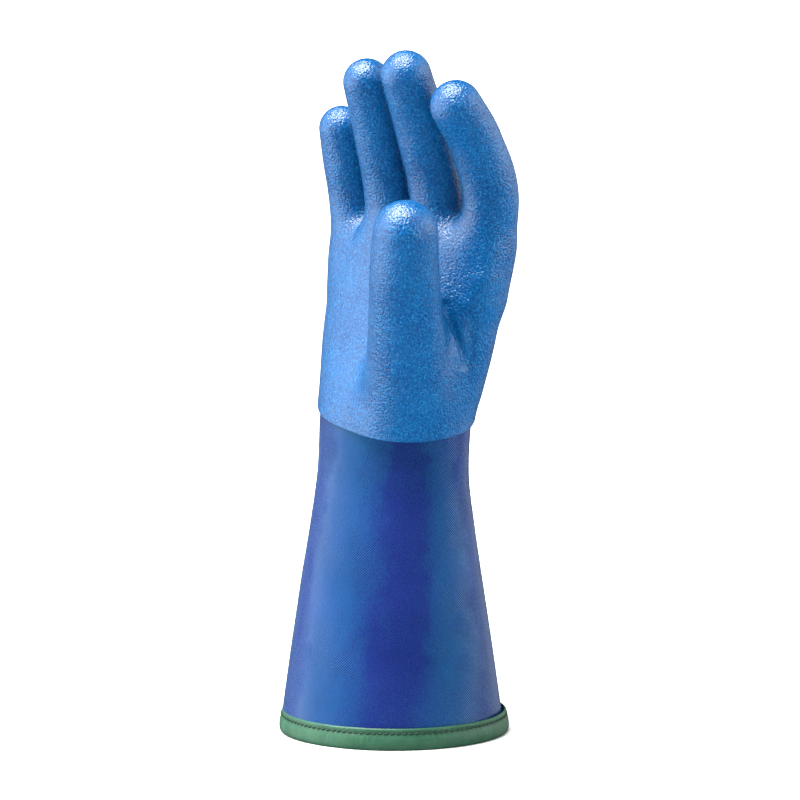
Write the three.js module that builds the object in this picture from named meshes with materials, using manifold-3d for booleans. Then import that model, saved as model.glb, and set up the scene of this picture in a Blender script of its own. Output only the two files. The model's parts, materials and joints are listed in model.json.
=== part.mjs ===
// Insulated gauntlet glove for handling very cold vessels, right hand, standing on its hem with the
// fingers up. Millimetres, +Z up, palm towards -Y, index finger and thumb towards +X.
//
// Two layers run through the whole hand: a rough coated outer shell and a loose knitted liner. Below the
// wrist a smooth coated sleeve with its own lining flares to a round hem, bound with a folded tape.
// Each digit is cut where it bends, because a solid here can't flex: a soft zone at the knuckle and one at
// the middle joint, with a stiff length above each.
import * as THREE from "three";
import { mergeVertices } from "three/addons/utils/BufferGeometryUtils.js";
import Module from "manifold-3d";

const wasm = await Module();
wasm.setup();

// Driving dimensions.
const GAP = 0.3; // air between neighbouring pieces
const COATING_WALL = 1.2; // rough outer shell of the hand
const SLEEVE_WALL = 1.0; // smooth outer shell of the gauntlet
const LINER_WALL = 2.2; // knitted insulation, hand and gauntlet alike
const TAPE_WALL = 0.5; // seam tape down the back of the sleeve
const BINDING_WALL = 1.1; // folded hem tape
const BINDING_HEIGHT = 9.5;
const THREAD_RADIUS = 0.3;
const STITCH_HEIGHT = 7.4; // the seam's height above the floor
const SLEEVE_TOP = 150; // the sleeve runs up inside the hand shell to here
const COATING_EDGE = { z: 136.5, dip: 3 }; // the shell's lower edge dips on the thumb side
const HEM_CENTRE = new THREE.Vector3(-3.97, 2.71, 0); // puts the origin below the middle of the glove

// The insets from the outer surface of the hand at which each layer starts and ends.
const COATING = { outer: 0, inner: COATING_WALL };
const LINER = { outer: COATING_WALL + GAP, inner: COATING_WALL + GAP + LINER_WALL };

// Cross-sections of the hand, wrist to finger roots: centre, half-width, half-thickness, and the exponent
// of the superellipse, 2 for a plain ellipse.
const HAND_SECTIONS = [
  { z: 120, x: 0, y: 0, rx: 36.6, ry: 30, n: 2 },
  { z: 137, x: 0.5, y: 0.7, rx: 37, ry: 30.3, n: 2 },
  { z: 150, x: 2, y: 2.4, rx: 39.5, ry: 28.8, n: 2.05 },
  { z: 170, x: 3.6, y: 5, rx: 44, ry: 24.5, n: 2.1 },
  { z: 195, x: 6, y: 8.4, rx: 46.8, ry: 21, n: 2.15 },
  { z: 213, x: 7.8, y: 10.8, rx: 47.8, ry: 17.6, n: 2.3 },
  { z: 220, x: 7.8, y: 11.2, rx: 46.8, ry: 14.5, n: 2.3 },
  { z: 224, x: 7.8, y: 11.4, rx: 43.4, ry: 8.5, n: 2.3 },
];
// The finger roots drop away from the middle finger towards the little one.
const ROOT_ARCH = { x: 19, from: 150, to: 224, halfWidth: 51, drop: 7 };

// Cross-sections of the gauntlet sleeve: a round hem that narrows to the oval wrist.
const within = (section, inset) => ({ ...section, rx: section.rx - inset, ry: section.ry - inset });
const HEM_RADIUS = 48.3; // sleeve's radius at its lower edge
const SLEEVE_SECTIONS = [
  { z: BINDING_WALL + GAP, x: 0, y: 0, rx: HEM_RADIUS, ry: HEM_RADIUS, n: 2 },
  { z: 10.5, x: 0, y: 0, rx: 47.1, ry: 47.1, n: 2 },
  { z: 62, x: 0, y: 0, rx: 41.4, ry: 37.9, n: 2 },
  { z: 113, x: 0, y: 0, rx: 35.4, ry: 28.9, n: 2 },
  within(HAND_SECTIONS[1], COATING_WALL + GAP),
  within(HAND_SECTIONS[2], COATING_WALL + GAP),
];

// The digits. path runs from the crotch level to the centre of the rounded tip; cuts are the lengths
// along it where the knuckle zone starts and ends and where the middle joint's zone starts and ends.
const DIGITS = {
  index: {
    path: [[45, 12, 222], [45.6, 9.8, 243.5], [44.6, 2.4, 260], [42.8, -9.2, 277]],
    radii: [12.4, 11.2],
    cuts: [4, 20, 32, 47],
  },
  middle: {
    path: [[18.2, 10, 222], [18.2, 3.8, 250.5], [17.8, -4.8, 269.5], [17.4, -13, 288.6]],
    radii: [12.2, 10.9],
    cuts: [4, 20, 36, 52],
  },
  ring: {
    path: [[-8, 9, 220.5], [-7.6, 4.3, 244], [-7.4, -2.9, 264.5], [-7.4, -10.2, 283]],
    radii: [12, 10.3],
    cuts: [4, 20, 34, 49],
  },
  little: {
    path: [[-32, 12, 216.5], [-32.5, 9.4, 232], [-33.6, 2.8, 258.6]],
    radii: [11.3, 10],
    cuts: [4, 16, 23, 34.5],
  },
  thumb: {
    path: [[31.5, -26.8, 180], [38.2, -35.6, 200], [44, -42, 226.6]],
    radii: [16.2, 14],
    cuts: [3, 13, 25, 36],
    root: [[16, -10, 138], [24.5, -18, 158]], // the ball of the thumb, down to the wrist
    rootRadius: 19,
  },
};
// Fingers bend about the row's X axis. The thumb bends towards the palm, about this axis.
const THUMB_AXIS = new THREE.Vector3(-0.795, -0.606, 0).normalize();
const FINGER_AXIS = new THREE.Vector3(1, 0, 0);

// Facets.
const HAND_SIDES = 28;
const DIGIT_SIDES = 10;
const DIGIT_ROWS = 4;
const HEM_SIDES = 28;
const CUTTER = 130; // a box this wide reaches past any piece that it cuts

const MATERIALS = {
  coating: new THREE.MeshStandardMaterial({ color: 0x2a82c4, roughness: 0.55, metalness: 0 }),
  sleeve: new THREE.MeshStandardMaterial({ color: 0x274fa6, roughness: 0.4, metalness: 0 }),
  liner: new THREE.MeshStandardMaterial({ color: 0xe8e4d8, roughness: 0.95, metalness: 0 }),
  binding: new THREE.MeshStandardMaterial({ color: 0x4f9a74, roughness: 0.6, metalness: 0 }),
  thread: new THREE.MeshStandardMaterial({ color: 0x2e6a4a, roughness: 0.7, metalness: 0 }),
};

// A closed geometry as a solid that can be joined and cut.
function solidOf(geometry) {
  const bare = geometry.clone();
  bare.deleteAttribute("normal");
  bare.deleteAttribute("uv");
  const merged = mergeVertices(bare, 1e-3);
  const vertProperties = new Float32Array(merged.attributes.position.array);
  const triVerts = new Uint32Array(merged.index.array);
  return new wasm.Manifold(new wasm.Mesh({ numProp: 3, vertProperties, triVerts }));
}

function meshOf(name, solid, material) {
  const { vertProperties, triVerts } = solid.getMesh();
  const geometry = new THREE.BufferGeometry();
  geometry.setAttribute("position", new THREE.BufferAttribute(new Float32Array(vertProperties), 3));
  geometry.setIndex(new THREE.BufferAttribute(new Uint32Array(triVerts), 1));
  geometry.computeVertexNormals();
  const mesh = new THREE.Mesh(geometry, material);
  mesh.name = name;
  return mesh;
}

// Moves every vertex of a geometry to where place(vertex) says.
function warped(geometry, place) {
  const position = geometry.attributes.position;
  const vertex = new THREE.Vector3();
  for (let i = 0; i < position.count; i++) {
    const { x, y, z } = place(vertex.fromBufferAttribute(position, i));
    position.setXYZ(i, x, y, z);
  }
  return geometry;
}

// A box that fills everything beyond a plane, on the side that normal points to.
function beyond(point, normal) {
  const box = new THREE.BoxGeometry(CUTTER, CUTTER, CUTTER);
  box.translate(0, 0, CUTTER / 2);
  const turn = new THREE.Quaternion().setFromUnitVectors(new THREE.Vector3(0, 0, 1), normal);
  box.applyQuaternion(turn);
  box.translate(point.x, point.y, point.z);
  return solidOf(box);
}

const mix = THREE.MathUtils.lerp;

function sectionAt(sections, z) {
  const below = sections.findLastIndex((s) => s.z <= z);
  const i = THREE.MathUtils.clamp(below, 0, sections.length - 2);
  const k = (z - sections[i].z) / (sections[i + 1].z - sections[i].z);
  const at = {};
  for (const key of Object.keys(sections[i])) at[key] = mix(sections[i][key], sections[i + 1][key], k);
  return at;
}

// A solid through cross-sections, each shrunk by inset, from height low to height high.
function loft(sections, inset, low, high, sides, drop = () => 0) {
  const levels = [low, ...sections.map((s) => s.z).filter((z) => z > low && z < high), high];
  const rows = levels.length - 1;
  const tube = new THREE.CylinderGeometry(1, 1, 1, sides, rows);
  return solidOf(
    warped(tube, ({ x, y, z }) => {
      const level = levels[Math.round((y + 0.5) * rows)];
      const s = sectionAt(sections, level);
      const rounded = (c) => Math.sign(c) * Math.abs(c) ** (2 / s.n);
      const px = s.x + rounded(x) * (s.rx - inset);
      const py = s.y - rounded(z) * (s.ry - inset);
      return { x: px, y: py, z: level - drop(px, level) };
    }),
  );
}

function rootDrop(x, z) {
  const rise = THREE.MathUtils.clamp((z - ROOT_ARCH.from) / (ROOT_ARCH.to - ROOT_ARCH.from), 0, 1);
  return ROOT_ARCH.drop * ((x - ROOT_ARCH.x) / ROOT_ARCH.halfWidth) ** 2 * rise ** 2;
}

const hand = (inset, low, top = HAND_SECTIONS.at(-1).z) =>
  loft(HAND_SECTIONS, inset, low, top - inset, HAND_SIDES, rootDrop);

const sleeve = (inset, low, high) => loft(SLEEVE_SECTIONS, inset, low, high, HEM_SIDES);

// A digit's centre line, measured by the length along it from the crotch level.
function centreLine(digit) {
  const curve = new THREE.CatmullRomCurve3(digit.path.map((p) => new THREE.Vector3(...p)));
  const length = curve.getLength();
  const start = curve.getPointAt(0);
  const end = curve.getPointAt(1);
  const first = curve.getTangentAt(0);
  const last = curve.getTangentAt(1);
  const at = (s) => {
    if (s < 0) return { point: start.clone().addScaledVector(first, s), tangent: first };
    if (s > length) return { point: end.clone().addScaledVector(last, s - length), tangent: last };
    return { point: curve.getPointAt(s / length), tangent: curve.getTangentAt(s / length) };
  };
  return { length, at };
}

const ROOT_DEPTH = 20; // how far a digit's tube reaches down into the hand
const ROOT_TAPER = 0.45; // how much narrower it is there

// A digit's solid, shrunk by inset: a tapered tube along its centre line with a round tip.
function digitSolid(digit, inset) {
  const line = centreLine(digit);
  const radius = (s) => {
    if (s < 0) return digit.radii[0] * (1 - ROOT_TAPER * (s / ROOT_DEPTH) ** 2);
    return mix(digit.radii[0], digit.radii[1], Math.min(1, s / line.length));
  };
  const capsule = new THREE.CapsuleGeometry(1, 1, 2, DIGIT_SIDES, DIGIT_ROWS);
  const across = digit === DIGITS.thumb ? THUMB_AXIS : FINGER_AXIS;
  return solidOf(
    warped(capsule, ({ x, y, z }) => {
      const straight = THREE.MathUtils.clamp(y, -0.5, 0.5);
      const onLine = mix(-ROOT_DEPTH, line.length, straight + 0.5);
      const r = radius(onLine) - inset;
      const { point, tangent } = line.at(onLine + (y - straight) * r);
      const side = across.clone().addScaledVector(tangent, -across.dot(tangent)).normalize();
      const front = side.clone().cross(tangent);
      return point.addScaledVector(side, x * r).addScaledVector(front, z * r);
    }),
  );
}

// The ball of the thumb: a tube from the wrist into the thumb's root.
function thumbRoot(inset) {
  const { root, rootRadius, path, radii } = DIGITS.thumb;
  const points = [...root, path[0]].map((p) => new THREE.Vector3(...p));
  const curve = new THREE.CatmullRomCurve3(points);
  const capsule = new THREE.CapsuleGeometry(1, 1, 2, DIGIT_SIDES, 2);
  return solidOf(
    warped(capsule, ({ x, y, z }) => {
      const straight = THREE.MathUtils.clamp(y, -0.5, 0.5);
      const r = mix(rootRadius, radii[0], straight + 0.5) - inset;
      const tangent = curve.getTangentAt(straight + 0.5);
      const point = curve.getPointAt(straight + 0.5).addScaledVector(tangent, (y - straight) * r);
      const side = THUMB_AXIS.clone().addScaledVector(tangent, -THUMB_AXIS.dot(tangent)).normalize();
      const front = side.clone().cross(tangent);
      return point.addScaledVector(side, x * r).addScaledVector(front, z * r);
    }),
  );
}

// The part of a digit's solid between two lengths along its centre line.
function lengthOf(solid, digit, from, to) {
  const line = centreLine(digit);
  let cut = solid;
  if (from !== null) {
    const { point, tangent } = line.at(from);
    cut = cut.subtract(beyond(point, tangent.clone().negate()));
  }
  if (to !== null) {
    const { point, tangent } = line.at(to);
    cut = cut.subtract(beyond(point, tangent));
  }
  return cut;
}

// The hand's solid with the stubs of its digits, each ending at its knuckle zone or a little past it.
function handWithStubs(inset, low, past) {
  let whole = hand(inset, low);
  for (const digit of Object.values(DIGITS)) {
    const top = digit.cuts[0] - GAP / 2 + past;
    const tube = digit.root ? digitSolid(digit, inset).add(thumbRoot(inset)) : digitSolid(digit, inset);
    whole = whole.add(lengthOf(tube, digit, null, top));
  }
  return whole;
}

// One layer of the hand, hollow, open at the wrist and at each knuckle.
function handLayer(layer, low) {
  return handWithStubs(layer.outer, low, 0).subtract(handWithStubs(layer.inner, low - 5, 3));
}

// The lengths of a digit: two soft zones and two stiff ones, for each layer.
function digitPieces(name, digit) {
  const [knuckle, base, joint, tip] = digit.cuts;
  const zones = [
    ["knuckle", knuckle, base],
    ["base", base, joint],
    ["joint", joint, tip],
    ["tip", tip, null],
  ];
  const pieces = [];
  for (const [layerName, layer, material] of [
    ["coating", COATING, MATERIALS.coating],
    ["liner", LINER, MATERIALS.liner],
  ]) {
    const shell = digitSolid(digit, layer.outer).subtract(digitSolid(digit, layer.inner));
    for (const [zone, from, to] of zones) {
      const part = lengthOf(shell, digit, from + GAP / 2, to === null ? null : to - GAP / 2);
      pieces.push(meshOf(`${name}_${zone}_${layerName}`, part, material));
    }
  }
  return pieces;
}

// The rough shell of the hand, its lower edge on a plane that dips towards the thumb.
function handCoating() {
  const tilt = new THREE.Vector3(0.669, -0.743, 0).multiplyScalar(COATING_EDGE.dip / HEM_RADIUS);
  const up = new THREE.Vector3(tilt.x, tilt.y, 1).normalize();
  const edge = beyond(new THREE.Vector3(0, 0, COATING_EDGE.z), up.negate());
  return meshOf("hand_coating", handLayer(COATING, HAND_SECTIONS[0].z).subtract(edge), MATERIALS.coating);
}

function handLiner() {
  const edge = beyond(new THREE.Vector3(0, 0, SLEEVE_TOP + GAP), new THREE.Vector3(0, 0, -1));
  return meshOf("hand_liner", handLayer(LINER, HAND_SECTIONS[0].z).subtract(edge), MATERIALS.liner);
}

function tubeOfSleeve(outer, inner) {
  const low = SLEEVE_SECTIONS[0].z;
  return sleeve(outer, low, SLEEVE_TOP).subtract(sleeve(inner, low - 1, SLEEVE_TOP + 1));
}

const gauntletSleeve = () => meshOf("gauntlet_sleeve", tubeOfSleeve(0, SLEEVE_WALL), MATERIALS.sleeve);

function gauntletLining() {
  const outer = SLEEVE_WALL + GAP;
  return meshOf("gauntlet_lining", tubeOfSleeve(outer, outer + LINER_WALL), MATERIALS.liner);
}

// The tape that seals the sleeve's lap seam, down the side away from the thumb.
function seamTape() {
  const [low, high, width] = [BINDING_HEIGHT + 1.5, 131, 10];
  const skin = sleeve(-GAP - TAPE_WALL, low, high).subtract(sleeve(-GAP, low - 1, high + 1));
  const strip = new THREE.BoxGeometry(width, 80, 200);
  strip.translate(0, 40, 60);
  strip.rotateZ(Math.atan2(0.669, 0.743));
  return meshOf("gauntlet_seam_tape", skin.intersect(solidOf(strip)), MATERIALS.sleeve);
}

// The sleeve's outer radius near the hem, where it is a round cone.
function coneRadius(z) {
  const [low, high] = SLEEVE_SECTIONS;
  return mix(low.rx, high.rx, (z - low.z) / (high.z - low.z));
}

// The hem tape's profile: folded under the edge, flat below, with a leg up each side of the wall.
function hemBinding() {
  const face = (z) => coneRadius(z) + GAP + BINDING_WALL;
  const wall = BINDING_WALL + GAP + SLEEVE_WALL + GAP + LINER_WALL + GAP + BINDING_WALL + GAP;
  const back = (z) => face(z) - wall;
  const top = BINDING_HEIGHT;
  const outline = [
    [back(0) + 1, 0],
    [face(0) - 1, 0],
    [face(1), 1],
    [face(top), top],
    [face(top) - BINDING_WALL, top],
    [face(BINDING_WALL) - BINDING_WALL, BINDING_WALL],
    [back(BINDING_WALL) + BINDING_WALL, BINDING_WALL],
    [back(top) + BINDING_WALL, top],
    [back(top), top],
    [back(1), 1],
  ];
  const profile = outline.map(([r, z]) => new THREE.Vector2(r, z));
  profile.push(profile[0].clone());
  const ring = new THREE.LatheGeometry(profile, HEM_SIDES).rotateX(Math.PI / 2);
  return { ring: meshOf("hem_binding", solidOf(ring), MATERIALS.binding), face, back };
}

// A line of thread round the hem.
function threadRing(name, radius) {
  const ring = new THREE.TorusGeometry(radius, THREAD_RADIUS, 5, HEM_SIDES);
  ring.translate(0, 0, STITCH_HEIGHT);
  return meshOf(name, solidOf(ring), MATERIALS.thread);
}

const glove = new THREE.Group();
glove.position.copy(HEM_CENTRE);
glove.add(handCoating(), handLiner(), gauntletSleeve(), gauntletLining(), seamTape());

const binding = hemBinding();
glove.add(
  binding.ring,
  threadRing("hem_needle_thread", binding.face(STITCH_HEIGHT) + THREAD_RADIUS + 0.2),
  threadRing("hem_bobbin_thread", binding.back(STITCH_HEIGHT) - THREAD_RADIUS - 0.3),
);
for (const [name, digit] of Object.entries(DIGITS)) glove.add(...digitPieces(name, digit));

export default glove;
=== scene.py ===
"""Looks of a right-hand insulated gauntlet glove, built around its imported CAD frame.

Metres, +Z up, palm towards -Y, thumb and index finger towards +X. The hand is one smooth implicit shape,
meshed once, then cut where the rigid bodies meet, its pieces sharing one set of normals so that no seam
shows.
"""

import itertools
import json
import math

import bmesh
import bpy
import numpy as np
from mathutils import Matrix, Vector


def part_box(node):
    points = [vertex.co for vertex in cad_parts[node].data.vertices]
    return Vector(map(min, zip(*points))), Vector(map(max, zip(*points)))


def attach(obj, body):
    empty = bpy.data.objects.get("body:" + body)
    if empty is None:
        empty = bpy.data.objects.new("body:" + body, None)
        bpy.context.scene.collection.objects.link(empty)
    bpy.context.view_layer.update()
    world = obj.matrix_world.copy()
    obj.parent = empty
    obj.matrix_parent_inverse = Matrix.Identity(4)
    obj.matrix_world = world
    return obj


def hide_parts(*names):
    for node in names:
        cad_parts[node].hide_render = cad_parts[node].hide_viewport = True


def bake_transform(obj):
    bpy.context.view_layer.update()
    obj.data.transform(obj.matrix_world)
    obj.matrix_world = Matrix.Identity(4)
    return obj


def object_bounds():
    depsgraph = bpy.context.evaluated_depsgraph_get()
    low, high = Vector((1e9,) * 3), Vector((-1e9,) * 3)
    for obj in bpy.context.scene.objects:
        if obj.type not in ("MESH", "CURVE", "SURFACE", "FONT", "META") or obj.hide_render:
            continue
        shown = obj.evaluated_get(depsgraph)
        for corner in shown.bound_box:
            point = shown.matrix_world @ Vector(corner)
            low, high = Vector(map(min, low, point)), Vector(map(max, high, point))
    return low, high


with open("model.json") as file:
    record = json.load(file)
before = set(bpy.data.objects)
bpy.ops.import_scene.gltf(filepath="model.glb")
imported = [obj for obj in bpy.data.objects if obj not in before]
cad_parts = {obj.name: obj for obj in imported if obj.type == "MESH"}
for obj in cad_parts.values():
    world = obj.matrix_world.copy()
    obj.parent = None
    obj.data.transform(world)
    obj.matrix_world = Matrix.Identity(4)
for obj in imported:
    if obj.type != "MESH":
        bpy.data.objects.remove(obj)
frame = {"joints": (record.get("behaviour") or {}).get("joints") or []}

CAD_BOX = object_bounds()
MM = 0.001

# ---------------------------------------------------------------- sizes and places, from the frame


def corners(node):
    """The lowest and highest corner of a CAD node, as arrays."""
    low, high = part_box(node)
    return np.array(low), np.array(high)


JOINTS = {j["name"]: np.array(j["pos_m"]) for j in frame["joints"]}
HEM_LOW, HEM_HIGH = corners("hem_binding")
HEM_AXIS = (HEM_LOW + HEM_HIGH) / 2 * (1, 1, 0)
SLEEVE_LOW, SLEEVE_HIGH = corners("gauntlet_sleeve")

COATING_WALL = 1.2 * MM
LINER_WALL = 2.2 * MM
SLEEVE_WALL = 1.0 * MM
GAP = 0.3 * MM

VIEW_AZIMUTH = math.radians(42)
VIEW_ELEVATION = math.radians(9.5)
VIEW_WIDTH = 345.6 * MM  # what the picture's width covers at the glove
VIEW_CENTRE = (2.6 * MM, 142.1 * MM)  # right of and above the hem's centre, in the picture's plane
CAMERA_DISTANCE = 5.0

FACING = np.array([math.sin(VIEW_AZIMUTH), -math.cos(VIEW_AZIMUTH), 0])  # level, towards the camera

# ---------------------------------------------------------------- the hand as one implicit shape

# Height, centre x and y from the hem's axis, half-width, half-thickness, and superellipse exponent.
PALM = np.array(
    [
        (100, 0.0, 0.0, 36.6, 29.8, 2.0),
        (120, 0.0, 0.0, 36.8, 30.0, 2.0),
        (137, 0.5, 0.7, 37.0, 30.3, 2.0),
        (150, 2.0, 2.4, 39.3, 28.8, 2.05),
        (170, 3.8, 5.0, 43.8, 24.5, 2.1),
        (195, 6.0, 8.4, 46.2, 20.6, 2.15),
        (213, 7.6, 10.6, 47.2, 17.6, 2.25),
        (235, 7.6, 11.4, 47.2, 15.5, 2.3),
    ]
) * np.array([MM] * 5 + [1])
ROOT_ARCH = (19 * MM, 225 * MM, 11 * MM, 51 * MM)  # highest x, height there, drop at a half-width
DIGITS = ("index", "middle", "ring", "little", "thumb")
# Radius at the root and at the tip.
RADII = {
    "index": (12.2, 11.2),
    "middle": (12.0, 10.9),
    "ring": (11.7, 10.3),
    "little": (11.0, 9.8),
    "thumb": (16.0, 14.0),
}
# How far below its knuckle each digit's centre line starts, inside the palm.
ROOT_OFFSET = {
    "index": (-9.0, 0.4, -40),
    "middle": (0.0, 1.6, -34),
    "ring": (-0.4, 1.6, -34),
    "little": (2.5, 1.0, -34),
    "thumb": (-17.9, 18.5, -49),
}
THUMB_BALL = (-9.4, 12.2, -28.9)  # a further point on the thumb's line, half-way down the palm
THUMB_BALL_RADII = (19.5, 19.0)
# How much skin bends, below and above each hinge: the knuckle, then the middle joint.
BEND = {
    "index": ((8, 11), (10.5, 10.5)),
    "middle": ((8, 11.5), (11.5, 11.5)),
    "ring": ((8, 11), (11, 11)),
    "little": ((6, 8.5), (8.7, 8.7)),
    "thumb": ((5, 8), (9, 9)),
}


def smooth_min(a, b, width):
    """The lesser of two distances, with a fillet that wide where they meet."""
    near = np.clip(width - np.abs(a - b), 0, None) / width
    return np.minimum(a, b) - near * near * width / 4


def spline(points, count):
    """A smooth line of that many points through the given ones."""
    points = np.asarray(points, float)
    ends = np.vstack([2 * points[0] - points[1], points, 2 * points[-1] - points[-2]])
    spans = len(points) - 1
    t = np.linspace(0, spans, count)
    i = np.minimum(t.astype(int), spans - 1)
    u = (t - i)[:, None]
    a, b, c, d = (ends[i + k] for k in range(4))
    return 0.5 * (2 * b + (c - a) * u + (2 * a - 5 * b + 4 * c - d) * u**2 + (3 * b - a - 3 * c + d) * u**3)


class Digit:
    """A finger or the thumb: its centre line, its radius along it, and where it bends."""

    def __init__(self, name):
        root_radius, tip_radius = (r * MM for r in RADII[name])
        knuckle, joint = JOINTS[name + "_knuckle"], JOINTS[name + "_joint"]
        low, high = corners(name + "_tip_coating")
        tip_x = high[0] - tip_radius if name == "thumb" else (low[0] + high[0]) / 2
        tip = np.array([tip_x, low[1] + tip_radius, high[2] - tip_radius])
        route = [knuckle + np.array(ROOT_OFFSET[name]) * MM, knuckle, joint, tip]
        radii = [root_radius, root_radius, (root_radius + tip_radius) / 2, tip_radius]
        if name == "thumb":
            route.insert(1, knuckle + np.array(THUMB_BALL) * MM)
            radii = [r * MM for r in THUMB_BALL_RADII] + radii[1:]
        self.name = name
        self.line = spline(route, 48)
        self.radius = spline([[r] for r in radii], 48)[:, 0]
        steps = np.linalg.norm(np.diff(self.line, axis=0), axis=1)
        self.along = np.concatenate([[0], np.cumsum(steps)])
        self.bends = []
        for centre, (below, above) in zip((knuckle, joint), BEND[name]):
            hinge = self.along[np.argmin(np.linalg.norm(self.line - centre, axis=1))]
            self.bends.append((hinge - below * MM, hinge + above * MM))

    def at(self, distance):
        """The point on the centre line at that length along it, and the direction there."""
        point = np.array([np.interp(distance, self.along, self.line[:, k]) for k in range(3)])
        ahead = np.array([np.interp(distance + MM, self.along, self.line[:, k]) for k in range(3)])
        behind = np.array([np.interp(distance - MM, self.along, self.line[:, k]) for k in range(3)])
        return point, (ahead - behind) / np.linalg.norm(ahead - behind)

    def measure(self, points):
        """For each point, its distance to the skin and its length along the centre line."""
        reach = self.radius.max() + 14 * MM
        low, high = self.line.min(0) - reach, self.line.max(0) + reach
        outside = np.linalg.norm(np.clip(low - points, 0, None) + np.clip(points - high, 0, None), axis=1)
        distance, along = outside + 14 * MM, np.zeros(len(points))
        near = np.flatnonzero(outside == 0)
        p = points[near]
        best = np.full(len(near), np.inf)
        where = np.zeros(len(near))
        for a, b, ra, rb, start in zip(
            self.line[:-1], self.line[1:], self.radius[:-1], self.radius[1:], self.along[:-1]
        ):
            span = b - a
            t = np.clip((p - a) @ span / (span @ span), 0, 1)
            gone = np.linalg.norm(p - a - t[:, None] * span, axis=1) - (ra + (rb - ra) * t)
            closer = gone < best
            best[closer] = gone[closer]
            where[closer] = (start + t * np.linalg.norm(span))[closer]
        distance[near], along[near] = best, where
        return distance, along


HAND = {name: Digit(name) for name in DIGITS}
# Folds of the coating between the thumb's ball and the palm, from the hem's axis: two ends in
# millimetres, width, and depth, which is negative for a swelling.
FOLDS = [
    ((37.5, -9.0, 190), (44.2, -3.0, 165), 2.3, 1.7),
    ((47.5, -3.0, 184), (45.4, -1.0, 167), 2.0, 1.5),
    ((52.0, 0.0, 200), (49.5, 0.0, 192), 8.0, -2.2),
]
FILLET = {"index": 8 * MM, "middle": 7 * MM, "ring": 7 * MM, "little": 9 * MM, "thumb": 9 * MM}


def palm_distance(points):
    """Roughly the distance to the palm's skin: a lofted superellipse under an arched crown."""
    x, y, z = (points - HEM_AXIS).T
    heights = np.linspace(PALM[0, 0], PALM[-1, 0], 256)
    smooth = spline(PALM, 2048)
    cx, cy, rx, ry, n = (
        np.interp(z, heights, np.interp(heights, smooth[:, 0], smooth[:, k])) for k in range(1, 6)
    )
    u, v = np.abs(x - cx) / rx + 1e-9, np.abs(y - cy) / ry + 1e-9
    size = (u**n + v**n) ** (1 / n)
    slope = size ** (1 - n) * np.hypot(u ** (n - 1) / rx, v ** (n - 1) / ry)
    side = (size - 1) / slope
    peak, top, drop, half = ROOT_ARCH
    crown = z - (top - drop * ((x - peak) / half) ** 2)
    return -smooth_min(-side, -crown, 12 * MM)


def hand_distance(points):
    """Roughly the distance to the hand's skin: the palm with each digit filleted on, and its folds."""
    palm = palm_distance(points)
    whole = palm
    for name, digit in HAND.items():
        whole = np.minimum(whole, smooth_min(palm, digit.measure(points)[0], FILLET[name]))
    for start, end, width, depth in FOLDS:
        a, b = (HEM_AXIS + np.array(e) * MM for e in (start, end))
        t = np.clip((points - a) @ (b - a) / ((b - a) @ (b - a)), 0, 1)
        gone = np.linalg.norm(points - a - t[:, None] * (b - a), axis=1) / (width * MM)
        whole = whole + depth * MM * np.exp(-(gone**2))
    return whole


def slope_of(distance, points, step=0.25 * MM):
    """The direction in which the distance grows fastest, at each point."""
    grown = []
    for axis in np.eye(3) * step:
        grown.append((distance(points + axis) - distance(points - axis)) / (2 * step))
    return np.stack(grown, 1)


def surface_net(distance, low, high, step):
    """The skin of an implicit shape as quads, with one vertex in each cell that the skin crosses."""
    axes = [np.arange(a, b + step, step) for a, b in zip(low, high)]
    grid = np.stack(np.meshgrid(*axes, indexing="ij"), -1)
    field = distance(grid.reshape(-1, 3)).reshape(grid.shape[:3])
    inside = field < 0
    full = sum(
        inside[i : i - 1 or None, j : j - 1 or None, k : k - 1 or None].astype(np.int8)
        for i, j, k in itertools.product((0, 1), repeat=3)
    )
    cells = np.argwhere((full > 0) & (full < 8))
    number = np.full(full.shape, -1)
    number[tuple(cells.T)] = np.arange(len(cells))
    total, crossings = np.zeros((len(cells), 3)), np.zeros((len(cells), 1))
    for axis in range(3):
        others = [k for k in range(3) if k != axis]
        for b, c in itertools.product((0, 1), repeat=2):
            start = np.zeros(3, int)
            start[others] = b, c
            end = start.copy()
            end[axis] = 1
            first, second = field[tuple((cells + start).T)], field[tuple((cells + end).T)]
            cut = (first < 0) != (second < 0)
            share = first[cut] / (first[cut] - second[cut])
            total[cut] += start + share[:, None] * (end - start)
            crossings[cut] += 1
    vertices = np.array([a[0] for a in axes]) + step * (cells + total / crossings)
    quads = []
    for axis in range(3):
        b, c = (axis + 1) % 3, (axis + 2) % 3
        here = np.take(inside, range(inside.shape[axis] - 1), axis)
        there = np.take(inside, range(1, inside.shape[axis]), axis)
        edges = np.argwhere(here != there)
        edges = edges[(edges[:, b] > 0) & (edges[:, c] > 0)]
        edges = edges[(edges[:, b] < full.shape[b]) & (edges[:, c] < full.shape[c])]
        around = []
        for db, dc in ((0, 0), (1, 0), (1, 1), (0, 1)):
            cell = edges.copy()
            cell[:, b] -= db
            cell[:, c] -= dc
            around.append(number[tuple(cell.T)])
        quad = np.stack(around, 1)
        outward = here[tuple(edges.T)]
        quad[~outward] = quad[~outward, ::-1]
        quads.append(quad)
    return vertices, np.vstack(quads)


def settle(distance, vertices, quads, rounds=3):
    """Evens out a net's vertices and puts them exactly on the skin."""
    for _ in range(rounds):
        total, count = np.zeros_like(vertices), np.zeros((len(vertices), 1))
        for k in range(4):
            np.add.at(total, quads[:, k], vertices[quads[:, k - 1]] + vertices[quads[:, (k + 1) % 4]])
            np.add.at(count, quads[:, k], 2)
        vertices = vertices + 0.5 * (total / count - vertices)
        for _ in range(2):
            slope = slope_of(distance, vertices)
            size = np.clip((slope**2).sum(1, keepdims=True), 0.2, None)
            vertices = vertices - distance(vertices)[:, None] * slope / size
    return vertices


# ---------------------------------------------------------------- mesh helpers


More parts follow.
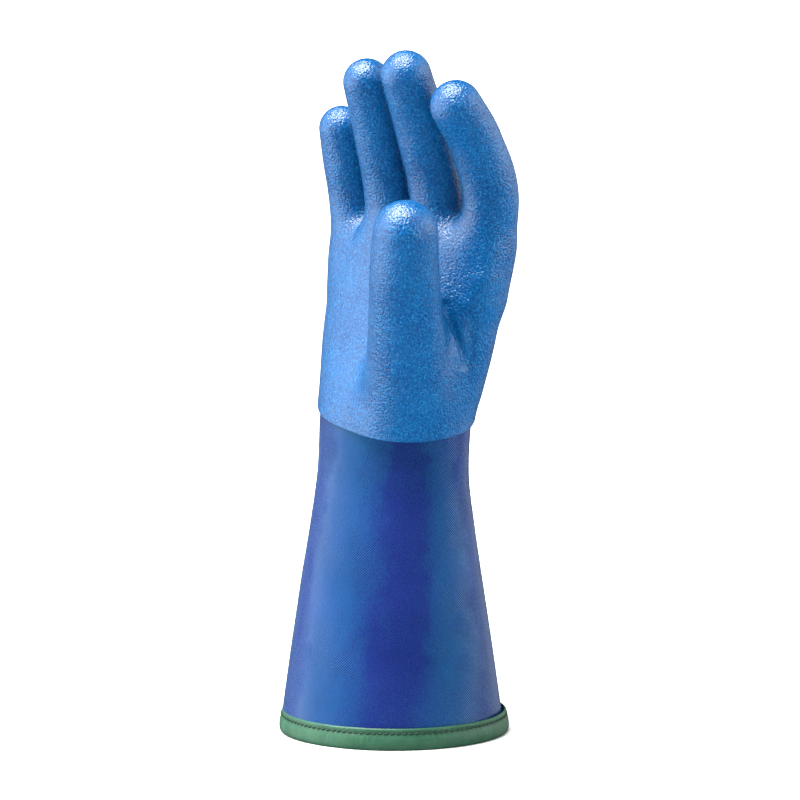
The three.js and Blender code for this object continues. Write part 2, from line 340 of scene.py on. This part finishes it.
def mesh_piece(name, vertices, faces, normals=None, rest=None):
    """A smooth mesh object from arrays. normals are one for each face corner."""
    mesh = bpy.data.meshes.new(name)
    mesh.from_pydata([tuple(v) for v in vertices], [], [tuple(f) for f in faces])
    mesh.validate()
    mesh.update()
    mesh.polygons.foreach_set("use_smooth", [True] * len(mesh.polygons))
    where = mesh.attributes.new("rest", "FLOAT_VECTOR", "POINT")
    where.data.foreach_set("vector", np.asarray(vertices if rest is None else rest, np.float32).ravel())
    if normals is not None:
        mesh.normals_split_custom_set([tuple(n) for n in normals])
    piece = bpy.data.objects.new(name, mesh)
    bpy.context.scene.collection.objects.link(piece)
    return piece


def unit(vectors):
    return vectors / np.maximum(np.linalg.norm(vectors, axis=-1, keepdims=True), 1e-12)


def walled(name, vertices, normals, faces, outer, inner):
    """A closed wall from a stretch of skin: its outer face, its inner face and the rims between them.
    outer and inner are depths below the skin, one number or one for each vertex."""
    used = np.unique(np.concatenate([np.asarray(f) for f in faces]))
    number = np.full(len(vertices), -1)
    number[used] = np.arange(len(used))
    skin, out = vertices[used], normals[used]
    outside = skin - out * np.broadcast_to(outer, len(vertices))[used][:, None]
    inside = skin - out * np.broadcast_to(inner, len(vertices))[used][:, None]
    count = len(used)
    faces = [number[np.asarray(f)] for f in faces]
    edges = {}
    for face in faces:
        for a, b in zip(face, np.roll(face, -1)):
            edges[(int(a), int(b))] = None
    rims = [(a, b) for a, b in edges if (b, a) not in edges]
    points = np.vstack([outside, inside])
    all_faces, corner_normals = [], []
    for face in faces:
        all_faces.append([int(i) for i in face])
        corner_normals.extend(out[face])
    for face in faces:
        all_faces.append([int(i) + count for i in face[::-1]])
        corner_normals.extend(-out[face[::-1]])
    for a, b in rims:
        quad = [b, a, a + count, b + count]
        across = np.cross(points[a] - points[b], points[a + count] - points[a])
        all_faces.append(quad)
        corner_normals.extend([unit(across)] * 4)
    return mesh_piece(name, points, all_faces, corner_normals, np.vstack([skin, skin]))


def grid_piece(name, rows, closed_rows=False, closed_columns=True):
    """A piece from a grid of points, rows by columns: closed columns go round, closed rows join up."""
    rows = np.asarray(rows)
    count, columns = rows.shape[:2]
    faces = []
    for i in range(count if closed_rows else count - 1):
        for j in range(columns if closed_columns else columns - 1):
            i2, j2 = (i + 1) % count, (j + 1) % columns
            faces.append((i * columns + j, i * columns + j2, i2 * columns + j2, i2 * columns + j))
    return mesh_piece(name, rows.reshape(-1, 3), faces)


def tube_piece(name, tubes):
    """A piece from one or more tubes, each a list of rings of points, with its ends closed."""
    points, faces = [], []
    for rings in tubes:
        rings = np.asarray(rings)
        count, sides = rings.shape[:2]
        first = sum(len(p) for p in points)
        points.append(rings.reshape(-1, 3))
        for i in range(count - 1):
            for j in range(sides):
                a, b = first + i * sides + j, first + i * sides + (j + 1) % sides
                faces.append((a, b, b + sides, a + sides))
        faces.append(tuple(first + j for j in reversed(range(sides))))
        faces.append(tuple(first + (count - 1) * sides + j for j in range(sides)))
    return mesh_piece(name, np.vstack(points), faces)


# ---------------------------------------------------------------- the hand's coating and liner

EDGE_HEIGHT = corners("hand_coating")[0][2] + 3.2 * MM  # the coating's lower edge, at the wrist's middle
EDGE_RISE = np.array([-0.115, 0.085, 0])  # how steeply it rises away from the thumb's side
EDGE_PLANE = (HEM_AXIS + (0, 0, EDGE_HEIGHT), unit(np.array([0, 0, 1]) - EDGE_RISE))
EDGE_THINNING = 0.55 * MM  # how much thinner the coating is at its edge
EDGE_TAPER = 2.2 * MM  # how far up the thinning reaches
LINER_PLANE = (np.array([0, 0, corners("hand_liner")[0][2]]), np.array([0, 0, 1.0]))
DIGIT_REACH = 4 * MM  # skin this close to a digit's own shape belongs to the digit


def cuts_of(digit):
    """Where along a digit its skin is cut: just below the knuckle's bend, and between its two bends."""
    knuckle, joint = digit.bends
    return knuckle[0] - 0.5 * MM, (knuckle[1] + joint[0]) / 2


def nearest_digit(points):
    """The number of the digit that each point lies on, or -1, and its length along that digit."""
    measured = [HAND[name].measure(points) for name in DIGITS]
    distance = np.stack([m[0] for m in measured])
    along = np.stack([m[1] for m in measured])
    nearest = distance.argmin(0)
    column = np.arange(len(points))
    return np.where(distance[nearest, column] < DIGIT_REACH, nearest, -1), along[nearest, column]


def cut_net(vertices, faces, cuts):
    """Splits the faces that each cut's plane crosses, where its test picks them."""
    shape = bmesh.new()
    points = [shape.verts.new(v) for v in vertices]
    for face in faces:
        shape.faces.new([points[i] for i in face])
    for point, direction, picks in cuts:
        every = list(shape.faces)
        centres = np.array([f.calc_center_median() for f in every])
        near = np.abs((centres - point) @ direction) < 3 * MM
        chosen = [every[i] for i in np.flatnonzero(near)[picks(centres[near])]]
        edges = list({e for f in chosen for e in f.edges})
        corners_of = list({v for f in chosen for v in f.verts})
        bmesh.ops.bisect_plane(
            shape,
            geom=chosen + edges + corners_of,
            dist=1e-7,
            plane_co=Vector(point),
            plane_no=Vector(direction),
        )
    shape.verts.index_update()
    vertices = np.array([v.co for v in shape.verts])
    faces = [np.array([v.index for v in f.verts]) for f in shape.faces]
    shape.free()
    return vertices, faces


def skin_of(step, low_plane, depth):
    """The surface at a depth below the hand's skin, cut where its pieces meet: vertices, normals, and
    the faces of each piece."""

    def distance(points):
        return hand_distance(points) + depth

    reach = 3 * MM
    low = np.min([d.line.min(0) for d in HAND.values()], 0) - 20 * MM
    high = np.max([d.line.max(0) for d in HAND.values()], 0) + 16 * MM
    low[0], low[1] = CAD_BOX[0][0] - reach, CAD_BOX[0][1] - reach
    high[0], high[1] = CAD_BOX[1][0] + reach, HEM_AXIS[1] + 38 * MM
    low[2] = low_plane[0][2] - 7 * MM
    vertices, quads = surface_net(distance, low, high, step)
    vertices = settle(distance, vertices, quads)
    cuts = [(*low_plane, lambda p: np.ones(len(p), bool))]
    for number, name in enumerate(DIGITS):
        digit = HAND[name]
        for place in cuts_of(digit):
            cuts.append((*digit.at(place), lambda p, n=number: nearest_digit(p)[0] == n))
    vertices, faces = cut_net(vertices, quads, cuts)
    normals = unit(slope_of(distance, vertices))
    centres = np.array([vertices[f].mean(0) for f in faces])
    digit_of, _ = nearest_digit(centres)
    kept = (centres - low_plane[0]) @ low_plane[1] > 0
    groups = {"hand": []}
    for name in DIGITS:
        groups[name + "_lower"], groups[name + "_upper"] = [], []
    places = []
    for name in DIGITS:
        places.append([HAND[name].at(place) for place in cuts_of(HAND[name])])
    for face, centre, number, keep in zip(faces, centres, digit_of, kept):
        if not keep:
            continue
        group = "hand"
        if number >= 0:
            (p1, d1), (p2, d2) = places[number]
            if (centre - p1) @ d1 > 0:
                group = DIGITS[number] + ("_upper" if (centre - p2) @ d2 > 0 else "_lower")
        groups[group].append(face)
    return vertices, normals, groups


def make_layer(layer, step, low_plane, depth, wall):
    """One layer of the hand in eleven pieces: the palm, and two lengths of each digit."""
    vertices, normals, groups = skin_of(step, low_plane, depth)
    above = (vertices - low_plane[0]) @ low_plane[1]
    thinned = EDGE_THINNING * np.clip(1 - above / EDGE_TAPER, 0, 1) ** 2 if layer == "coating" else 0
    made = []
    for group, faces in groups.items():
        piece = walled(f"{group}_{layer}_skin", vertices, normals, faces, thinned, wall)
        made.append(piece)
        if group == "hand":
            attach(piece, "hand")
            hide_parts("hand_" + layer)
            continue
        name, half = group.rsplit("_", 1)
        digit = HAND[name]
        zones = ("knuckle", "base") if half == "lower" else ("joint", "tip")
        start, end = digit.bends[0 if half == "lower" else 1]
        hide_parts(*(f"{name}_{zone}_{layer}" for zone in zones))
        digit.at(start)[0]
        digit.at(end)[0]
        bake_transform(piece)
    return made


COATING_STEP = 1.0 * MM
LINER_STEP = 2.2 * MM
coating = make_layer("coating", COATING_STEP, EDGE_PLANE, 0, COATING_WALL)
liner = make_layer("liner", LINER_STEP, LINER_PLANE, COATING_WALL + GAP, LINER_WALL)

# ---------------------------------------------------------------- the gauntlet

SLEEVE_COLUMNS = 240
ANGLES = np.linspace(0, 2 * math.pi, SLEEVE_COLUMNS, endpoint=False)
# Height, centre x and y from the hem's axis, half-widths along x and y.
SLEEVE = np.array(
    [
        (-30, 0, 0, 52.6, 52.6),
        (1.4, 0, 0, 48.3, 48.3),
        (30, 0, 0, 45.1, 43.6),
        (62, 0, 0, 41.2, 37.9),
        (90, 0, 0, 37.6, 32.6),
        (113, 0, 0, 35.4, 28.9),
        (137, 0.5, 0.7, 35.5, 28.8),
        (150, 2.0, 2.4, 37.7, 27.1),
        (163, 3.4, 4.2, 40.4, 25.0),
    ]
) * MM
SLEEVE_LINE = spline(SLEEVE, 1024)
SLEEVE_LEAN = 0.9 * MM  # how far the sleeve sits to the little finger's side of the round hem


def sleeve_ring(z, inset, angles=ANGLES, lean=SLEEVE_LEAN):
    """A ring of points round the sleeve at that height, inset from its outer face."""
    cx, cy, rx, ry = (np.interp(z, SLEEVE_LINE[:, 0], SLEEVE_LINE[:, k]) for k in range(1, 5))
    lean = lean * np.interp(z, (70 * MM, 140 * MM), (1, 0))
    x = HEM_AXIS[0] + cx - lean * math.cos(VIEW_AZIMUTH) + (rx - inset) * np.cos(angles)
    y = HEM_AXIS[1] + cy - lean * math.sin(VIEW_AZIMUTH) + (ry - inset) * np.sin(angles)
    return np.stack([x, y, np.broadcast_to(z, np.shape(x))], -1)


def hem_ring(z, inset, angles):
    """A ring of points round the hem, which stays true where the sleeve leans."""
    return sleeve_ring(z, inset, angles, 0)


def tube_wall(name, inset, wall, low, high, rows):
    """A closed wall of the sleeve's shape, its rims closed flat."""
    heights = np.linspace(low, high, rows)
    outside = [sleeve_ring(z, inset) for z in heights]
    inside = [sleeve_ring(z, inset + wall) for z in heights[::-1]]
    return grid_piece(name, outside + inside, closed_rows=True)


gauntlet = tube_wall("gauntlet_sleeve_shell", 0, SLEEVE_WALL, SLEEVE_LOW[2], SLEEVE_HIGH[2], 110)
lining = tube_wall(
    "gauntlet_lining_knit", SLEEVE_WALL + GAP, LINER_WALL, SLEEVE_LOW[2], SLEEVE_HIGH[2], 90
)

TAPE_DIRECTION = math.atan2(0.743, -0.669)
TAPE_LOW, TAPE_HIGH = (corners("gauntlet_seam_tape")[k][2] for k in (0, 1))
TAPE_HALF_WIDTH = 4.6 * MM
TAPE_WALL = 0.5 * MM
TAPE_RADIUS = 40 * MM  # the sleeve's mean radius, which sets the tape's width as an angle


def tape_section(z, shrink=0.0):
    """The outline of the seam tape at that height, its long edges thinned."""
    across = np.linspace(-1, 1, 13)
    angles = TAPE_DIRECTION + across * (TAPE_HALF_WIDTH - shrink) / TAPE_RADIUS
    lift = GAP + (TAPE_WALL - shrink) * (1 - across**8 * 0.75)
    top = [sleeve_ring(z, -h, a) for a, h in zip(angles, lift)]
    foot = [sleeve_ring(z, -0.15 * MM, a) for a in angles[::-1]]
    return np.array(top + foot)


tape_heights = np.linspace(TAPE_LOW, TAPE_HIGH, 60)
tape_ends = (tape_heights[0], tape_heights[-1])
tape_rings = [tape_section(z, 0.25 * MM if z in tape_ends else 0) for z in tape_heights]
tape = tube_piece("gauntlet_seam_tape_strip", [tape_rings])

# ---------------------------------------------------------------- the hem

STITCH_HEIGHT = (corners("hem_needle_thread")[0][2] + corners("hem_needle_thread")[1][2]) / 2
STITCHES = 114
HEM_COLUMNS = STITCHES * 6
HEM_ANGLES = np.linspace(0, 2 * math.pi, HEM_COLUMNS, endpoint=False)
LAP_ANGLE = TAPE_DIRECTION + 0.16  # where the tape's end laps over its start
LAP_HALF_LENGTH = 8 * MM
LAP_STEP = 0.6 * MM  # how far round the lap takes to rise
HEM_RADIUS = 48 * MM
STITCH_RADIUS = 0.44 * MM
STITCH_DIVE = 0.42 * MM  # how far a stitch's ends sink into the tape
# The folded tape's outline: out from the sleeve's outer face, and height. It runs down outside, under
# the edge and up inside, then back down against the wall.
HEM_OUTLINE = np.array(
    [
        (0.55, 9.45), (0.98, 9.25), (1.16, 8.75), (1.1, 8.1), (0.92, 7.4), (1.14, 6.7), (1.42, 5.8),
        (1.55, 4.6), (1.55, 3.2), (1.4, 1.9), (1.02, 0.8), (0.45, 0.2), (-0.3, 0.0), (-2.0, 0.0),
        (-3.8, 0.0), (-4.5, 0.25), (-5.0, 0.9), (-5.2, 2.0), (-5.25, 4.0), (-5.15, 6.0), (-4.85, 7.4),
        (-5.05, 8.4), (-4.95, 9.2), (-4.5, 9.45), (-4.02, 9.2), (-3.95, 6.0), (-3.9, 1.5), (-3.5, 1.12),
        (-1.9, 1.08), (0.0, 1.12), (0.3, 1.6), (0.32, 5.0), (0.32, 9.0),
    ]
) * MM


def ripple(angles, waves, seed):
    """A sum of a few smooth waves round a circle, between about -1 and 1."""
    draw = np.random.default_rng(seed)
    total = np.zeros_like(angles)
    for count in waves:
        total = total + np.sin(count * angles + draw.uniform(0, 2 * math.pi)) * draw.uniform(0.5, 1)
    return total / len(waves) * 1.6


def hem_rows():
    """The folded tape round the hem, puckered along its stitches, with a lap where its ends meet."""
    puckers = ripple(HEM_ANGLES, (31, 43, 57, 76, 97, 114, 131), 3)
    swells = ripple(HEM_ANGLES, (3, 5, 8, 13, 19), 4)
    dimples = 0.5 + 0.5 * np.cos(HEM_ANGLES * STITCHES)
    turn = (HEM_ANGLES - LAP_ANGLE + math.pi) % (2 * math.pi) - math.pi
    lapped = np.clip((LAP_HALF_LENGTH - np.abs(turn) * HEM_RADIUS) / LAP_STEP, 0, 1)
    rows = []
    for out, z in HEM_OUTLINE:
        side = 1 if out > -2 * MM else -1
        face = 1.0 if (out > 0.4 * MM or out < -4.4 * MM) else 0.0
        below_stitch = math.exp(-(((z - 5.2 * MM) / (2.0 * MM)) ** 2))
        on_stitch = math.exp(-(((z - STITCH_HEIGHT) / (0.8 * MM)) ** 2))
        above = math.exp(-(((z - 9.0 * MM) / (0.9 * MM)) ** 2))
        push = 0.16 * MM * below_stitch * puckers + 0.1 * MM * swells * (z > 0.5 * MM)
        push = push - 0.16 * MM * on_stitch * (1 - dimples) + 0.12 * MM * above * puckers
        push = push + 0.3 * MM * lapped * (z > 0.5 * MM) * (out > 0)
        ring = hem_ring(max(z, 0), 0, HEM_ANGLES)
        outward = unit((ring - HEM_AXIS) * (1, 1, 0))
        ring = ring + outward * (out + side * face * push)[:, None]
        ring[:, 2] = z + 0.12 * MM * above * face * swells
        rows.append(ring)
    return rows


binding = grid_piece("hem_binding_tape", hem_rows(), closed_rows=True)


def stitch_tubes(inset, seed):
    """A row of lockstitches round the hem: short plump threads that dive into the tape at both ends."""
    draw = np.random.default_rng(seed)
    pitch = 2 * math.pi / STITCHES
    around = np.linspace(0, 2 * math.pi, 8, endpoint=False)
    tubes = []
    for k in range(STITCHES):
        middle = k * pitch + pitch / 2 + draw.uniform(-0.03, 0.03) * pitch
        lean = draw.uniform(0.1, 0.3) * MM
        rings = []
        for t in np.linspace(-1, 1, 9):
            size = STITCH_RADIUS * (1 - 0.72 * t**4)
            dive = STITCH_DIVE * t**4
            angle = middle + t * pitch * 0.47
            centre = hem_ring(STITCH_HEIGHT, inset, np.array([angle]))[0]
            outward = unit((centre - HEM_AXIS) * (1, 1, 0))
            centre = centre - outward * dive * np.sign(-inset)
            centre[2] = STITCH_HEIGHT + lean * t
            across = outward * size, np.array([0, 0, size * 0.85])
            rings.append([centre + across[0] * math.cos(a) + across[1] * math.sin(a) for a in around])
        tubes.append(rings)
    return tubes


needle = tube_piece("hem_needle_stitches", stitch_tubes(-1.12 * MM, 11))
bobbin = tube_piece("hem_bobbin_stitches", stitch_tubes(5.0 * MM, 12))

SHARP_ANGLE = math.radians(50)
for piece, node, slot in (
    (gauntlet, "gauntlet_sleeve", "gauntlet"),
    (lining, "gauntlet_lining", "gauntlet_lining"),
    (tape, "gauntlet_seam_tape", "gauntlet"),
    (binding, "hem_binding", "binding"),
    (needle, "hem_needle_thread", "thread"),
    (bobbin, "hem_bobbin_thread", "thread"),
):
    piece.data.set_sharp_from_angle(angle=SHARP_ANGLE)
    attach(piece, "hand")
    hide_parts(node)

# ---------------------------------------------------------------- materials


class Paint:
    """A node material under construction, with short calls for its nodes."""

    def __init__(self, name):
        self.material = bpy.data.materials.new(name)
        self.material.use_nodes = True
        self.tree = self.material.node_tree
        self.shader = self.tree.nodes["Principled BSDF"]

    def node(self, kind, outlet=0, **settings):
        """A new node's outlet. Settings are its properties, or its sockets, which a link can fill."""
        made = self.tree.nodes.new("ShaderNode" + kind)
        for key, value in settings.items():
            if hasattr(made, key):
                setattr(made, key, value)
                continue
            socket = made.inputs[int(key[1:]) if key[0] == "_" else key.replace("_", " ")]
            self.fill(socket, value)
        return made.outputs[outlet]

    def fill(self, socket, value):
        """Links a socket to another node's outlet, or sets its value."""
        if isinstance(value, bpy.types.NodeSocket):
            self.tree.links.new(value, socket)
        else:
            socket.default_value = value

    def set(self, **sockets):
        """Fills the shader's own sockets."""
        for key, value in sockets.items():
            self.fill(self.shader.inputs[key.replace("_", " ")], value)

    def rest(self):
        """Where a point of the surface lies when nothing is bent, so that a pattern stays on its skin."""
        return self.node("Attribute", 1, attribute_name="rest")

    def noise(self, scale, detail=2.0, roughness=0.5, distortion=0.0, where=None):
        return self.node(
            "TexNoise",
            Vector=where or self.rest(),
            Scale=scale,
            Detail=detail,
            Roughness=roughness,
            Distortion=distortion,
        )

    def spread(self, value, low, high, to_low=0.0, to_high=1.0):
        return self.node(
            "MapRange", Value=value, From_Min=low, From_Max=high, To_Min=to_low, To_Max=to_high
        )

    def math(self, operation, a, b=0.0):
        return self.node("Math", operation=operation, _0=a, _1=b)

    def mix(self, share, first, second):
        made = self.tree.nodes.new("ShaderNodeMix")
        made.data_type = "RGBA"
        self.fill(made.inputs[0], share)
        self.fill(made.inputs[6], first)
        self.fill(made.inputs[7], second)
        return made.outputs[2]

    def bump(self, height, distance, strength=1.0, below=None):
        settings = {"Height": height, "Distance": distance, "Strength": strength}
        if below is not None:
            settings["Normal"] = below
        return self.node("Bump", **settings)


def coating_paint():
    """Rough dipped coating: pebbled grain about a millimetre across over slow unevenness, with painted
    highlights on the grain's raised points and painted shade in dark specks.
    """
    p = Paint("hand coating")
    pebbles = p.node("TexVoronoi", feature="SMOOTH_F1", Vector=p.rest(), Scale=950.0, Smoothness=0.35)
    grain = p.noise(1250.0, detail=2.0, roughness=0.5, distortion=0.4)
    height = p.math("ADD", p.math("MULTIPLY", pebbles, -0.8), p.math("MULTIPLY", grain, 1.2))
    patches = p.noise(60.0, detail=2.0)
    rough = p.bump(height, 0.3 * MM)
    p.set(Normal=p.bump(patches, 1.0 * MM, below=rough))
    tone = p.mix(p.spread(patches, 0.3, 0.7), (0.0, 0.052, 0.18, 1), (0.0, 0.07, 0.22, 1))
    # darker specks at random, painted into the colour: painted shade standing in for the grain's shaded
    # hollows
    painted_shade_specks = p.noise(800.0, detail=1.0, roughness=0.5)
    tone = p.mix(p.spread(painted_shade_specks, 0.56, 0.68, 0, 0.55), tone, (0.0, 0.025, 0.1, 1))
    # the grain's raised points are painted a lighter blue: painted highlights standing in for glints of
    # light on the grain
    p.set(Base_Color=p.mix(p.spread(grain, 0.5, 0.7, 0, 0.7), tone, (0.01, 0.17, 0.4, 1)))
    p.set(Roughness=0.17)
    p.set(Specular_IOR_Level=0.6)
    return p.material


RIB_PITCH = 1.15 * MM


def sleeve_paint():
    """Smooth coating over a fine twill, whose ribs show faintly and in patches."""
    p = Paint("gauntlet coating")
    height_up = p.node("SeparateXYZ", 2, Vector=p.rest())
    side = p.node("Attribute", 2, attribute_name="round")
    ribs = p.math("SINE", p.math("MULTIPLY", p.math("ADD", side, height_up), 2 * math.pi / RIB_PITCH))
    patches = p.spread(p.noise(42.0, detail=3.0, roughness=0.6), 0.38, 0.62)
    worn = p.noise(700.0, detail=3.0, roughness=0.6)
    height = p.math("ADD", p.math("MULTIPLY", p.math("MULTIPLY", ribs, patches), 0.5), worn)
    slow = p.noise(35.0, detail=2.0)
    p.set(Normal=p.bump(height, 0.1 * MM, below=p.bump(slow, 0.9 * MM)))
    p.set(Base_Color=p.mix(p.spread(slow, 0.3, 0.7), (0.008, 0.013, 0.105, 1), (0.011, 0.018, 0.13, 1)))
    p.set(Roughness=p.spread(worn, 0.3, 0.7, 0.22, 0.3))
    p.set(IOR=1.48, Specular_Tint=(0.0, 0.9, 1.0, 1))
    p.set(Sheen_Weight=0.08, Sheen_Roughness=0.4, Sheen_Tint=(0.05, 0.6, 1.0, 1))
    return p.material


def knit_paint(name, colour):
    """Napped knit: rows of small loops under a soft pile."""
    p = Paint(name)
    loops = p.node("TexVoronoi", feature="F1", Vector=p.rest(), Scale=520.0)
    pile = p.noise(1500.0, detail=3.0, roughness=0.7)
    height = p.math("ADD", p.math("MULTIPLY", loops, -1.0), pile)
    p.set(Normal=p.bump(height, 0.5 * MM))
    dark = tuple(c * 0.72 for c in colour) + (1,)
    p.set(Base_Color=p.mix(p.spread(pile, 0.3, 0.7), dark, (*colour, 1)))
    p.set(Roughness=0.95, Sheen_Weight=0.5, Sheen_Roughness=0.6)
    return p.material


def binding_paint():
    """Coated green tape, its tone varying slowly."""
    p = Paint("hem tape")
    weave = p.noise(1400.0, detail=2.0, roughness=0.6)
    slow = p.noise(90.0, detail=3.0)
    p.set(Normal=p.bump(weave, 0.12 * MM, below=p.bump(slow, 0.5 * MM)))
    p.set(Base_Color=p.mix(p.spread(slow, 0.3, 0.7), (0.016, 0.072, 0.038, 1), (0.027, 0.1, 0.056, 1)))
    p.set(Roughness=p.spread(weave, 0.3, 0.7, 0.5, 0.38), Specular_IOR_Level=0.28)
    return p.material


def thread_paint():
    """Twisted thread."""
    p = Paint("thread")
    twist = p.noise(2600.0, detail=1.0)
    p.set(Normal=p.bump(twist, 0.15 * MM))
    p.set(Base_Color=p.mix(p.spread(twist, 0.3, 0.7), (0.003, 0.018, 0.01, 1), (0.008, 0.04, 0.022, 1)))
    p.set(Roughness=0.6, Specular_IOR_Level=0.3)
    return p.material


def wear(pieces, material):
    """Gives the pieces this one material."""
    for piece in pieces:
        piece.data.materials.clear()
        piece.data.materials.append(material)


def add_round(piece):
    """Stores each point's distance round the sleeve from the front, either way."""
    mesh = piece.data
    points = np.zeros(len(mesh.vertices) * 3, np.float32)
    mesh.vertices.foreach_get("co", points)
    offset = points.reshape(-1, 3) - HEM_AXIS
    turn = np.arctan2(offset[:, 1], offset[:, 0]) - math.atan2(FACING[1], FACING[0])
    turn = np.abs((turn + math.pi) % (2 * math.pi) - math.pi)
    values = turn * np.hypot(offset[:, 0], offset[:, 1])
    mesh.attributes.new("round", "FLOAT", "POINT").data.foreach_set("value", values.astype(np.float32))


add_round(gauntlet)
add_round(tape)
sleeve_material = sleeve_paint()
wear(coating, coating_paint())
wear(liner, knit_paint("hand liner knit", (0.78, 0.75, 0.66)))
wear([gauntlet, tape], sleeve_material)
wear([lining], knit_paint("gauntlet lining knit", (0.8, 0.77, 0.7)))
wear([binding], binding_paint())
wear([needle, bobbin], thread_paint())

# ---------------------------------------------------------------- camera, stage and light

scene = bpy.context.scene
scene.view_settings.view_transform = "Standard"

UP_VIEW = np.array([0, 0, math.cos(VIEW_ELEVATION)]) - FACING * math.sin(VIEW_ELEVATION)
TO_CAMERA = FACING * math.cos(VIEW_ELEVATION) + np.array([0, 0, math.sin(VIEW_ELEVATION)])
RIGHT = np.array([math.cos(VIEW_AZIMUTH), math.sin(VIEW_AZIMUTH), 0])
target = HEM_AXIS + RIGHT * VIEW_CENTRE[0] + UP_VIEW * VIEW_CENTRE[1]

camera = bpy.data.objects.new("camera", bpy.data.cameras.new("camera"))
camera.data.sensor_width = 36
camera.data.lens = 36 * CAMERA_DISTANCE / VIEW_WIDTH
camera.data.clip_end = 30
camera.location = target + TO_CAMERA * CAMERA_DISTANCE
camera.rotation_euler = Vector(TO_CAMERA).to_track_quat("Z", "Y").to_euler()
scene.collection.objects.link(camera)
scene.camera = camera


def studio_world():
    """Soft light by direction: a broad panel at each side, a weaker one behind each, and one overhead.
    The side that the camera looks from stays dim, so the front of the glove keeps its full colour."""
    world = bpy.data.worlds.new("studio")
    world.use_nodes = True
    tree = world.node_tree
    where = tree.nodes.new("ShaderNodeTexCoord").outputs["Generated"]

    def combine(operation, a, b):
        made = tree.nodes.new("ShaderNodeMath")
        made.operation = operation
        for socket, value in zip(made.inputs, (a, b)):
            if isinstance(value, bpy.types.NodeSocket):
                tree.links.new(value, socket)
            else:
                socket.default_value = value
        return made.outputs[0]

    def panel(direction, start, full):
        """1 inside the panel, falling to 0 outside it. start and full are cosines from its middle."""
        dot = tree.nodes.new("ShaderNodeVectorMath")
        dot.operation = "DOT_PRODUCT"
        tree.links.new(where, dot.inputs[0])
        dot.inputs[1].default_value = tuple(direction)
        ramp = tree.nodes.new("ShaderNodeMapRange")
        ramp.interpolation_type = "SMOOTHERSTEP"
        tree.links.new(dot.outputs["Value"], ramp.inputs["Value"])
        ramp.inputs["From Min"].default_value = start
        ramp.inputs["From Max"].default_value = full
        return ramp.outputs[0]

    strength = DIM
    for name, (direction, start, full, power) in PANELS.items():
        light = combine("MULTIPLY", panel(unit(direction), start, full), power)
        if name == "right":  # stands on the table
            light = combine("MULTIPLY", light, panel((0, 0, 1), -0.12, 0.04))
        strength = combine("ADD", strength, light)
    background = tree.nodes["Background"]
    background.inputs["Color"].default_value = (1, 1, 1, 1)
    tree.links.new(strength, background.inputs["Strength"])
    scene.world = world


# Each panel's direction, the cosines where its light starts and where it is full, and its strength.
PANELS = {
    "left": (-RIGHT + 0.1 * FACING + (0, 0, 0.1), 0.68, 0.86, 3.0),
    "left rim": (-0.7 * RIGHT - 0.7 * FACING + (0, 0, 0.1), 0.72, 0.93, 0.35),
    "right": (RIGHT + 0.1 * FACING + (0, 0, 0.1), 0.68, 0.86, 2.6),
    "right rim": (0.7 * RIGHT - 0.65 * FACING + (0, 0, 0.15), 0.76, 0.93, 0.6),
    "overhead": (np.array([0, 0, 0.93]) - 0.3 * RIGHT + 0.05 * FACING, 0.86, 0.95, 22.0),
}
DIM = 0.03  # the light from everywhere else
studio_world()


def floor():
    """A plain pale floor."""
    corners_of_floor = [[(x, y, 0) for x in (-9, 9)] for y in (-9, 9)]
    piece = grid_piece("studio_floor", corners_of_floor, closed_columns=False)
    p = Paint("studio floor")
    p.set(Base_Color=(0.66, 0.66, 0.66, 1), Roughness=0.95, Specular_IOR_Level=0.1)
    wear([piece], p.material)
    piece.visible_glossy = False  # the studio's floor stays out of the coating's gloss


floor()
